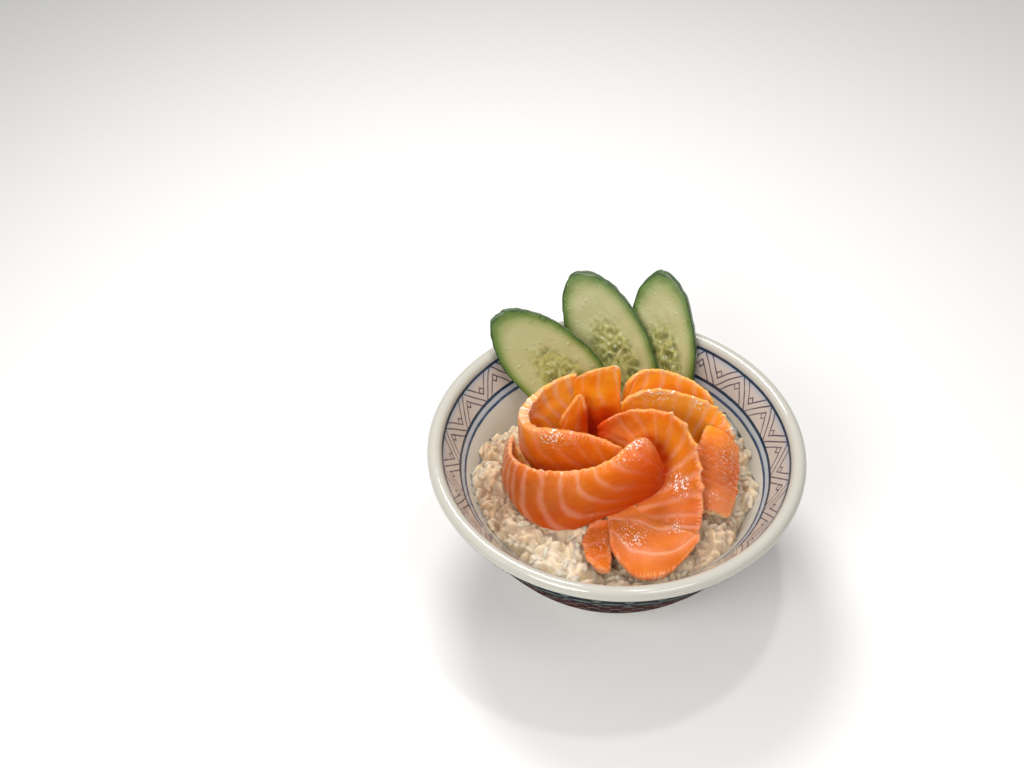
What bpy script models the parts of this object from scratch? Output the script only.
# Salmon rice bowl: a footed porcelain bowl filled with rice, a rose of raw salmon slices
# laid on top, and three cucumber slices fanned out behind it, leaning on the rim.
# Metres, +Z up.  The tables give millimetres: x and y from the axis of the bowl,
# z from the level of the rim.
import math
import random

import bmesh
import bpy
import numpy as np
from mathutils import Matrix, Vector
from mathutils.bvhtree import BVHTree

MM = 0.001
OBJECT_NAME = "salmon_rice_bowl"
GAP = 0.3                      # clearance between pieces that touch

# Bowl
RIM_HEIGHT = 72.0              # foot ring to the level of the rim
RIM_RADIUS = 75.0
LIP_RADIUS = 2.9               # half the thickness of the rolled lip
LIP_MIDDLE = -1.9
LIP_ARC = (175.0, -50.0)       # degrees, from the inner wall over to the outer one
LIP_STEPS = 8
FOOT_RADIUS = 30.5
FOOT_WIDTH = 4.0
FOOT_EDGE = 0.8                # rounding of the foot ring
FOOT_FLARE = 0.7               # the foot ring widens towards the wall
FOOT_TOP = -61.8
FOOT_RECESS = 6.5              # how far the underside lies above the table
RECESS_CROWN = 0.6
TURN_STEPS = 52
INNER_WALL = ((68.9, -2.4), (62.2, -12.4), (56.8, -20.8), (52.6, -31.0), (47.0, -42.0),
              (38.0, -53.0), (25.0, -60.5), (11.0, -63.2), (0.0, -63.6))
OUTER_WALL = ((72.6, -5.4), (69.0, -13.0), (63.6, -23.0), (58.6, -32.5), (53.4, -41.2),
              (46.0, -50.6), (38.0, -57.0), (32.6, -60.4))

# Rice
RICE_EDGE_RADIUS = 56.3
RICE_EDGE = -20.5              # where the rice meets the wall
RICE_RISE = 7.5                # how much higher its middle is
RICE_DIP = 6.0                 # hollow under the slices that lie at the front
RICE_DIP_AT = (-3.0, -39.0)
RICE_DIP_SIZE = (14.0, 15.0)
RICE_RINGS = (12.0, 24.0, 33.0, 38.5, 43.0, 46.5, 50.0, 53.0)
BUMP_HEIGHT = 0.8
BUMPS_FROM = 34.0              # the rice under the rose is smooth
GRAIN_LENGTH = 6.6
GRAIN_WIDTH = 2.5
GRAIN_SIZES = (0.85, 1.1)      # shares of the full size
GRAIN_LIE = (65.0, 115.0)      # degrees from upright
GRAIN_COUNT = 110
GRAIN_TRIES = 6000
GRAIN_SPACING = 3.2
GRAIN_LIFT = 0.25              # its middle lies this far above the heap's surface
GRAIN_CLEARANCE = 0.5
GRAINS_FROM = 30.0             # radius of the ring of rice that shows
GRAINS_EDGE = 2.5              # kept free beside the wall
ABOVE_ALL = 60.0
SEED = 7

# Salmon: each slice is a strip between a lip and a foot, given by stations along it
SLICE_THICKNESS = 3.3
SLICE_STEPS = (14, 3)          # facets along and across a slice
END_SHARE = 0.1                # part of the length that an end's rounding takes
END_WIDTH = 0.75               # width left at the very end
SLICES = (
    {"name": "salmon_front", "belly": (2.0, 2.5, 2.5, 2.5, 3.0, 6.0),
     "lip": ((-42, -1, 3), (-40, -15, 7), (-30, -24, 8), (-16, -26, 10), (-3, -23, 13),
             (9, -14.5, 19)),
     "foot": ((-45, 2, -14), (-43, -14, -15), (-33, -28, -16), (-18, -34, -15),
              (-3, -30.5, -9.5), (14, -21, -5))},
    {"name": "salmon_heart", "belly": (1.5, 1.5, 1.5, 2.0, 2.0, 1.5, 1.0),
     "lip": ((-17, 22, 15.5), (-29, 15, 14), (-38, 4, 11), (-34, -6, 12.5), (-22, -8, 13),
             (-9, -10, 13), (3, -13, 11)),
     "foot": ((-19, 17, -13), (-28, 11, -14), (-33.5, 3, -14.7), (-32, -7, -14.7),
              (-22, -13, -14), (-10, -15, -13), (2, -17, -11))},
    {"name": "salmon_back", "belly": (-1.5, -1.5, -1.5, -1.0),
     "lip": ((-20, 14, 15), (-13, 17, 20), (-6, 19, 21.5), (0, 21, 21)),
     "foot": ((-19, 9, -12), (-12, 12, -12), (-5, 13, -12), (2, 15, -12))},
    {"name": "salmon_bud", "belly": (-1.0, -1.5, -1.0),
     "lip": ((-23, 5, 4), (-15, 10, 15), (-9, 8, 8)),
     "foot": ((-24, 3, -12), (-16, 5, -12), (-8, 5, -12))},
    {"name": "salmon_back_right", "belly": (-2.0, -2.5, -2.5, -2.0, -1.5),
     "lip": ((3, 25, 9), (10, 29, 12), (20, 29, 12), (30, 25, 11), (39, 19, 7.5)),
     "foot": ((2, 20, -12), (8, 21, -13), (17, 21, -13.5), (26, 17, -14), (33, 11, -14))},
    {"name": "salmon_right", "belly": (-1.5, -1.5, -2.0, -2.0, -2.0),
     "lip": ((2, 11, 12), (12, 15, 15), (25, 15.5, 13.5), (39.5, 14, 8), (48, 7, -0.5)),
     "foot": ((1, 9, -11), (10, 11, -11), (20, 11, -12), (31, 7, -13), (40, 3.5, -14))},
    {"name": "salmon_sweep", "belly": (-1.0, -1.5, -2.0, -3.0, -3.0, -2.0, -1.0),
     "lip": ((-8, 3, 6), (3, 4, 13), (13, 2, 17), (24, -2, 17), (31, -11, 11),
             (34, -21, 2), (35, -29, -6)),
     "foot": ((-6, -3, -3), (4, -5, 0), (12, -6, 0), (15, -8, -4), (15, -14, -8.5),
              (11, -23, -11), (13, -31, -9.3))},
    {"name": "salmon_low_right", "belly": (-1.5, -2.0, -2.0, -1.0),
     "lip": ((34, 2, 6), (32, -4, 2), (30, -12, -4), (31, -19, -8)),
     "foot": ((48.5, 2, 1), (49, -5, -6.5), (47, -13, -11), (43, -21, -12.5))},
    {"name": "salmon_low_front", "belly": (0.5, 1.0, 1.0, 0.5),
     "lip": ((0, -25, -13), (11, -27, -14), (22, -28, -13.5), (35, -24, -13)),
     "foot": ((2, -43, -14.3), (11, -53, -16.5), (22, -52, -16), (38, -34, -14))},
    {"name": "salmon_tip", "belly": (0.5, 0.5, 0.5),
     "lip": ((1, -31, -17.4), (1.5, -41, -17.9), (2, -52, -17.2)),
     "foot": ((-10, -31, -17.2), (-10, -41, -17.5), (-5, -52, -17))},
)

# Cucumber: bias-cut slices, from the front one to the one behind
SLICE_LEAN = 62.0              # degrees from level
CUCUMBER_LENGTH = 72.0
CUCUMBER_THICKNESS = 3.4
CUCUMBER_SEGMENTS = 44
CUCUMBERS = (
    {"name": "cucumber_left", "centre": (-27.0, 43.6, -5.3), "turn": 10.0,
     "tilt": 133.8, "width": 34.4},
    {"name": "cucumber_middle", "centre": (-4.2, 58.1, -2.7), "turn": -9.5,
     "tilt": 124.0, "width": 34.0},
    {"name": "cucumber_right", "centre": (17.6, 58.2, -5.0), "turn": -18.6,
     "tilt": 103.4, "width": 31.2},
)
SLOT_REACH = 16.0              # the slots run back through the rice


def clear_scene():
    for item in list(bpy.data.objects):
        bpy.data.objects.remove(item, do_unlink=True)


def new_collection(name):
    collection = bpy.data.collections.new(name)
    bpy.context.scene.collection.children.link(collection)
    return collection


def new_material(name, colour, roughness):
    material = bpy.data.materials.new(name)
    material.use_nodes = True
    shader = material.node_tree.nodes["Principled BSDF"]
    shader.inputs["Base Color"].default_value = (*colour, 1.0)
    shader.inputs["Roughness"].default_value = roughness
    shader.inputs["Metallic"].default_value = 0.0
    return material


def new_object(name, mesh, collection, material=None, parent=None):
    item = bpy.data.objects.new(name, mesh)
    collection.objects.link(item)
    if material:
        mesh.materials.append(material)
    item.parent = parent
    return item


def as_cutter(item):
    item.hide_render = True
    item.display_type = "WIRE"


def evaluated_mesh(item):
    bpy.context.view_layer.update()
    graph = bpy.context.evaluated_depsgraph_get()
    return bpy.data.meshes.new_from_object(item.evaluated_get(graph))


def in_metres(x, y, z):
    return Vector((x * MM, y * MM, (z + RIM_HEIGHT) * MM))


def arc(x, z, radius, start, end, steps):
    angles = [math.radians(start + (end - start) * i / steps) for i in range(steps + 1)]
    return [(x + radius * math.cos(a), z + radius * math.sin(a)) for a in angles]


def turned(name, profile, collection, material, parent=None):
    mesh = bpy.data.meshes.new(name)
    points = [in_metres(x, 0.0, z) for x, z in profile]
    mesh.from_pydata(points, [(i, i + 1) for i in range(len(points) - 1)], [])
    item = new_object(name, mesh, collection, material, parent)
    screw = item.modifiers.new("turn", "SCREW")
    screw.steps = TURN_STEPS
    screw.render_steps = TURN_STEPS
    screw.use_merge_vertices = True
    screw.merge_threshold = 0.00001
    screw.use_smooth_shade = True
    return item


def wall_radius(z):
    # Inner radius of the bowl at a height below the rim
    radii = [r for r, height in reversed(INNER_WALL)]
    heights = [height for r, height in reversed(INNER_WALL)]
    return float(np.interp(z, heights, radii))


def bowl_profile():
    lip_centre = RIM_RADIUS - LIP_RADIUS
    inside = list(reversed(INNER_WALL))
    lip = arc(lip_centre, LIP_MIDDLE, LIP_RADIUS, *LIP_ARC, LIP_STEPS)
    table = -RIM_HEIGHT
    recess = table + FOOT_RECESS
    inner = FOOT_RADIUS - FOOT_WIDTH
    foot = [(FOOT_RADIUS + FOOT_FLARE, FOOT_TOP), (FOOT_RADIUS, table + FOOT_EDGE),
            (FOOT_RADIUS - FOOT_EDGE, table), (inner + FOOT_EDGE, table),
            (inner, table + FOOT_EDGE), (inner - FOOT_FLARE, recess), (0.0, recess - RECESS_CROWN)]
    return inside + lip + list(OUTER_WALL) + foot


def make_bowl(collection, parent):
    glaze = new_material("glazed_porcelain", (0.86, 0.83, 0.79), 0.12)
    return turned("bowl", bowl_profile(), collection, glaze, parent)


def stations_at(points, share):
    # Smooth curve through evenly numbered stations
    last = len(points) - 1
    place = min(max(share, 0.0), 1.0) * last
    i = min(int(place), last - 1)
    t = place - i
    p1 = np.array(points[i], float)
    p2 = np.array(points[i + 1], float)
    p0 = np.array(points[i - 1], float) if i > 0 else 2 * p1 - p2
    p3 = np.array(points[i + 2], float) if i + 2 <= last else 2 * p2 - p1
    return 0.5 * (2 * p1 + (p2 - p0) * t + (2 * p0 - 5 * p1 + 4 * p2 - p3) * t ** 2
                  + (3 * p1 - p0 - 3 * p2 + p3) * t ** 3)


def end_width(along):
    nearest = min(along, 1.0 - along) / END_SHARE
    if nearest >= 1.0:
        return 1.0
    return END_WIDTH + (1.0 - END_WIDTH) * math.sqrt(1.0 - (1.0 - nearest) ** 2)


def slice_point(piece, along, across):
    step = 0.01                # along the slice, for its direction there
    lip = stations_at(piece["lip"], along)
    foot = stations_at(piece["foot"], along)
    before = stations_at(piece["lip"], along - step) + stations_at(piece["foot"], along - step)
    after = stations_at(piece["lip"], along + step) + stations_at(piece["foot"], along + step)
    outward = np.cross(after - before, lip - foot)
    outward /= np.linalg.norm(outward)
    share = 0.5 + (across - 0.5) * end_width(along)
    belly = float(stations_at([(b,) for b in piece["belly"]], along)[0])
    bulge = belly * 4.0 * share * (1.0 - share)
    return lip * (1.0 - share) + foot * share + outward * bulge


def make_slice(piece, collection, material, parent):
    mesh = bpy.data.meshes.new(piece["name"])
    sheet = bmesh.new()
    bmesh.ops.create_grid(sheet, x_segments=SLICE_STEPS[0], y_segments=SLICE_STEPS[1], size=0.5)
    for vertex in sheet.verts:
        point = slice_point(piece, vertex.co.x + 0.5, vertex.co.y + 0.5)
        vertex.co = in_metres(*point)
    sheet.to_mesh(mesh)
    sheet.free()
    mesh.shade_smooth()
    item = new_object(piece["name"], mesh, collection, material, parent)
    shell = item.modifiers.new("thickness", "SOLIDIFY")
    shell.thickness = SLICE_THICKNESS * MM
    shell.offset = 0.0
    shell.use_even_offset = True
    return item


def make_salmon(collection, parent):
    flesh = new_material("salmon", (0.85, 0.27, 0.06), 0.3)
    return [make_slice(piece, collection, flesh, parent) for piece in SLICES]


def cucumber_place(piece):
    # Lies flat, then tilted within its plane, leaned back and turned round the bowl
    tilt = Matrix.Rotation(math.radians(piece["tilt"]), 4, "Z")
    lean = Matrix.Rotation(math.radians(SLICE_LEAN), 4, "X")
    turn = Matrix.Rotation(math.radians(piece["turn"]), 4, "Z")
    return Matrix.Translation(in_metres(*piece["centre"])) @ turn @ lean @ tilt


def cucumber_mesh(name, piece, grow, low, high):
    mesh = bpy.data.meshes.new(name)
    disc = bmesh.new()
    bmesh.ops.create_cone(disc, cap_ends=True, segments=CUCUMBER_SEGMENTS,
                          radius1=1.0, radius2=1.0, depth=1.0)
    for vertex in disc.verts:
        vertex.co.x *= (CUCUMBER_LENGTH / 2 + grow) * MM
        vertex.co.y *= (piece["width"] / 2 + grow) * MM
        vertex.co.z = (high if vertex.co.z > 0 else low) * MM
    disc.to_mesh(mesh)
    disc.free()
    return mesh


def make_cucumbers(collection, parent):
    flesh = new_material("cucumber", (0.55, 0.62, 0.28), 0.25)
    slices = []
    half = CUCUMBER_THICKNESS / 2
    for piece in CUCUMBERS:
        mesh = cucumber_mesh(piece["name"], piece, 0.0, -half, half)
        item = new_object(piece["name"], mesh, collection, flesh, parent)
        item.matrix_local = cucumber_place(piece)
        edge = item.modifiers.new("edge", "BEVEL")
        edge.width = 0.4 * MM
        edge.segments = 1
        slices.append(item)
    return slices


def rice_level(x, y):
    # Height of the heap: a low mound that dips under the slices at the front
    share = min(math.hypot(x, y) / RICE_EDGE_RADIUS, 1.0)
    across = (x - RICE_DIP_AT[0]) / RICE_DIP_SIZE[0]
    deep = (y - RICE_DIP_AT[1]) / RICE_DIP_SIZE[1]
    dip = RICE_DIP * math.exp(-across ** 2 - deep ** 2) * (1.0 - share ** 6)
    return RICE_EDGE + RICE_RISE * (1.0 - share ** 2) - dip


def rice_profile():
    wall = [(r - GAP, z + GAP) for r, z in INNER_WALL[3:-1]]
    bottom = INNER_WALL[-1][1] + GAP
    top = [(0.0, rice_level(0.0, 0.0))] + [(r, 0.0) for r in RICE_RINGS]
    return top + [(RICE_EDGE_RADIUS, RICE_EDGE)] + wall + [(0.0, bottom)]


def make_rice_core(collection, parent):
    cooked = new_material("cooked_rice", (0.8, 0.75, 0.62), 0.45)
    guide = turned("rice_guide", rice_profile(), collection, None)
    core = new_object("rice", evaluated_mesh(guide), collection, cooked, parent)
    bpy.data.objects.remove(guide, do_unlink=True)
    draw = random.Random(SEED)
    for vertex in core.data.vertices:
        x = vertex.co.x / MM
        y = vertex.co.y / MM
        radius = math.hypot(x, y)
        if vertex.co.z < in_metres(0, 0, RICE_EDGE - 1.0).z or radius > max(RICE_RINGS) + 1.0:
            continue
        bump = draw.uniform(-1.0, 1.0) * BUMP_HEIGHT if radius > BUMPS_FROM else 0.0
        vertex.co.z = in_metres(x, y, rice_level(x, y) + bump).z
    return core


def cut_with(item, cutter, solver="EXACT"):
    cut = item.modifiers.new("slot", "BOOLEAN")
    cut.operation = "DIFFERENCE"
    cut.object = cutter
    cut.solver = solver


def cut_slots(rice, cutters, parent):
    # Each cucumber slice stands in a slot that is open towards the wall
    half = CUCUMBER_THICKNESS / 2 + GAP
    for piece in CUCUMBERS:
        name = "slot_" + piece["name"]
        mesh = cucumber_mesh(name, piece, GAP, -SLOT_REACH, half)
        cutter = new_object(name, mesh, cutters, None, parent)
        cutter.matrix_local = cucumber_place(piece)
        as_cutter(cutter)
        cut_with(rice, cutter)


def make_grain(draw, x, y, level):
    grain = bmesh.new()
    bmesh.ops.create_uvsphere(grain, u_segments=5, v_segments=4, radius=0.5)
    size = draw.uniform(*GRAIN_SIZES)
    shape = Matrix.Diagonal((GRAIN_WIDTH * size * MM, GRAIN_WIDTH * size * MM,
                             GRAIN_LENGTH * size * MM, 1.0))
    lie = Matrix.Rotation(math.radians(draw.uniform(*GRAIN_LIE)), 4, "Y")
    turn = Matrix.Rotation(draw.uniform(0.0, 2 * math.pi), 4, "Z")
    place = Matrix.Translation(in_metres(x, y, level + GRAIN_LIFT))
    bmesh.ops.transform(grain, matrix=place @ turn @ lie @ shape, verts=grain.verts)
    return grain


def grain_is_clear(grain, trees):
    for vertex in grain.verts:
        z = vertex.co.z / MM - RIM_HEIGHT
        if math.hypot(vertex.co.x, vertex.co.y) / MM > wall_radius(z) - GRAIN_CLEARANCE:
            return False
        for tree in trees:
            if tree.find_nearest(vertex.co, GRAIN_CLEARANCE * MM)[0]:
                return False
    return True


def toppings_tree(item):
    mesh = evaluated_mesh(item)
    mesh.transform(item.matrix_local)
    shape = bmesh.new()
    shape.from_mesh(mesh)
    tree = BVHTree.FromBMesh(shape)
    shape.free()
    bpy.data.meshes.remove(mesh)
    return tree


def scatter_grains(toppings, material):
    # Grains spread evenly over the ring of rice that shows, by a seeded draw
    draw = random.Random(SEED)
    trees = [toppings_tree(item) for item in toppings]
    heap = new_collection("grains")
    spots = []
    outermost = RICE_EDGE_RADIUS - GRAINS_EDGE
    for _ in range(GRAIN_TRIES):
        if len(spots) >= GRAIN_COUNT:
            break
        radius = math.sqrt(draw.uniform(GRAINS_FROM ** 2, outermost ** 2))
        angle = draw.uniform(0.0, 2 * math.pi)
        x = radius * math.cos(angle)
        y = radius * math.sin(angle)
        if any(math.hypot(x - u, y - v) < GRAIN_SPACING for u, v in spots):
            continue
        above = in_metres(x, y, ABOVE_ALL)
        if any(tree.ray_cast(above, Vector((0, 0, -1)))[0] for tree in trees):
            continue
        grain = make_grain(draw, x, y, rice_level(x, y))
        if grain_is_clear(grain, trees):
            spots.append((x, y))
            mesh = bpy.data.meshes.new("grain")
            grain.to_mesh(mesh)
            new_object("grain", mesh, heap, material)
        grain.free()
    return heap


def fuse(item, heap, solver="EXACT"):
    join = item.modifiers.new("grains", "BOOLEAN")
    join.operation = "UNION"
    join.operand_type = "COLLECTION"
    join.collection = heap
    join.solver = solver
    fused = evaluated_mesh(item)
    item.modifiers.clear()
    old = item.data
    item.data = fused
    bpy.data.meshes.remove(old)
    for grain in list(heap.objects):
        bpy.data.objects.remove(grain, do_unlink=True)
    bpy.data.collections.remove(heap)


def middle_of_box(items):
    lows = []
    highs = []
    for item in items:
        mesh = evaluated_mesh(item)
        ys = [(item.matrix_local @ vertex.co).y for vertex in mesh.vertices]
        lows.append(min(ys))
        highs.append(max(ys))
        bpy.data.meshes.remove(mesh)
    return (min(lows) + max(highs)) / 2


def build():
    clear_scene()
    parts = new_collection(OBJECT_NAME)
    cutters = new_collection("cutters")
    centre = new_object("bowl_centre", None, parts)
    bowl = make_bowl(parts, centre)
    salmon = make_salmon(parts, centre)
    cucumbers = make_cucumbers(parts, centre)
    rice = make_rice_core(parts, centre)
    cut_slots(rice, cutters, centre)
    heap = scatter_grains(salmon + cucumbers, rice.data.materials[0])
    fuse(rice, heap)
    # The tips of the cucumber reach past the rim, so the bowl stands a little forward
    centre.location.y = -middle_of_box([bowl] + cucumbers)


build()
